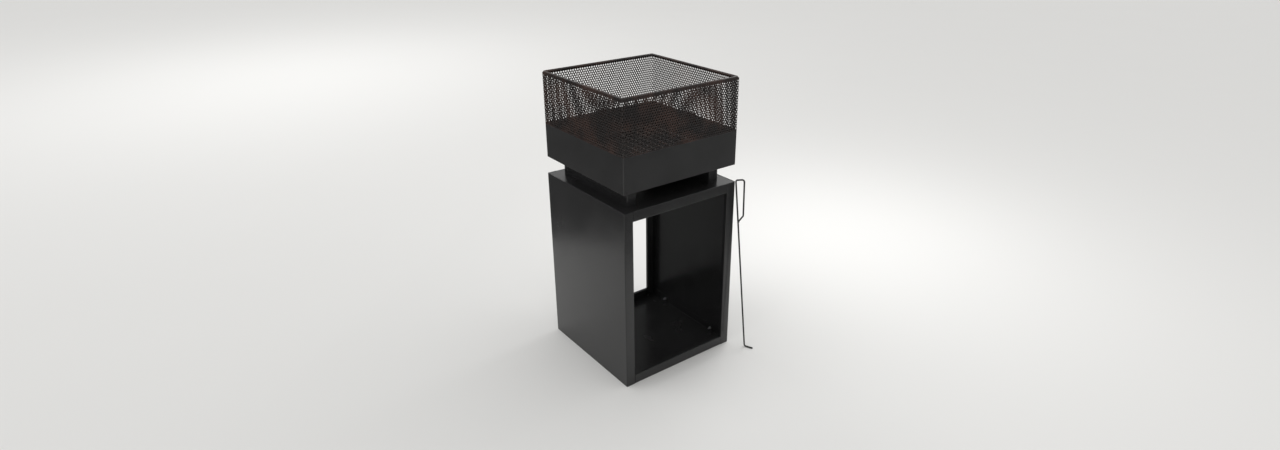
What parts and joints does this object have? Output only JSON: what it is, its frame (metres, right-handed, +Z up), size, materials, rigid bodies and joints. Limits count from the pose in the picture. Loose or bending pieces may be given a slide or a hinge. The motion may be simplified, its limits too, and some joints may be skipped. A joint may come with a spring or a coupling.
{
  "type": "square steel fire column with log store",
  "caption": "Square steel fire bowl with a lift-off perforated spark guard and a rod grate, raised on rails over an open log store, with a poker leaning on it.",
  "frame": {"origin": "centre of the log store's underside, on the ground", "axes": "+X to the right seen from the front, -Y out of the front opening, +Z up"},
  "size_m": [0.4365, 0.4818, 0.868],
  "materials": {
    "store_sheet": "satin",
    "bowl_sheet": "satin",
    "guard_sheet": "matte",
    "wire": "satin",
    "grate_iron": "matte",
    "zinc_fasteners": "satin"
  },
  "bodies": {
    "fire_column": {"left_side_panel": "store_sheet", "right_side_panel": "store_sheet", "top_panel": "store_sheet", "floor_panel": "store_sheet", "left_panel_studs": "zinc_fasteners", "right_panel_studs": "zinc_fasteners", "top_panel_nuts": "zinc_fasteners", "floor_panel_nuts": "zinc_fasteners", "left_bowl_rail": "store_sheet", "right_bowl_rail": "store_sheet", "fire_bowl": "bowl_sheet", "bowl_bolts": "zinc_fasteners", "bowl_bolt_head_washers": "zinc_fasteners", "bowl_bolt_nut_washers": "zinc_fasteners", "bowl_bolt_nuts": "zinc_fasteners"},
    "fire_grate": {"grate_frame": "grate_iron", "grate_rods": "grate_iron"},
    "spark_guard": {"guard_sheet": "guard_sheet", "guard_rim": "guard_sheet", "guard_tab_spacers": "guard_sheet", "guard_tab_legs": "guard_sheet"},
    "poker": {"poker": "wire"}
  },
  "joints": [
    {"name": "guard_lift", "type": "slide", "parent": "fire_column", "child": "spark_guard", "axis": [0, 0, 1], "range_m": [0, 0.25]},
    {"name": "grate_lift", "type": "slide", "parent": "fire_column", "child": "fire_grate", "axis": [0, 0, 1], "range_m": [0, 0.3]},
    {"name": "poker_lift", "type": "slide", "parent": "fire_column", "child": "poker", "axis": [0, 0, 1], "range_m": [0, 0.6]}
  ]
}
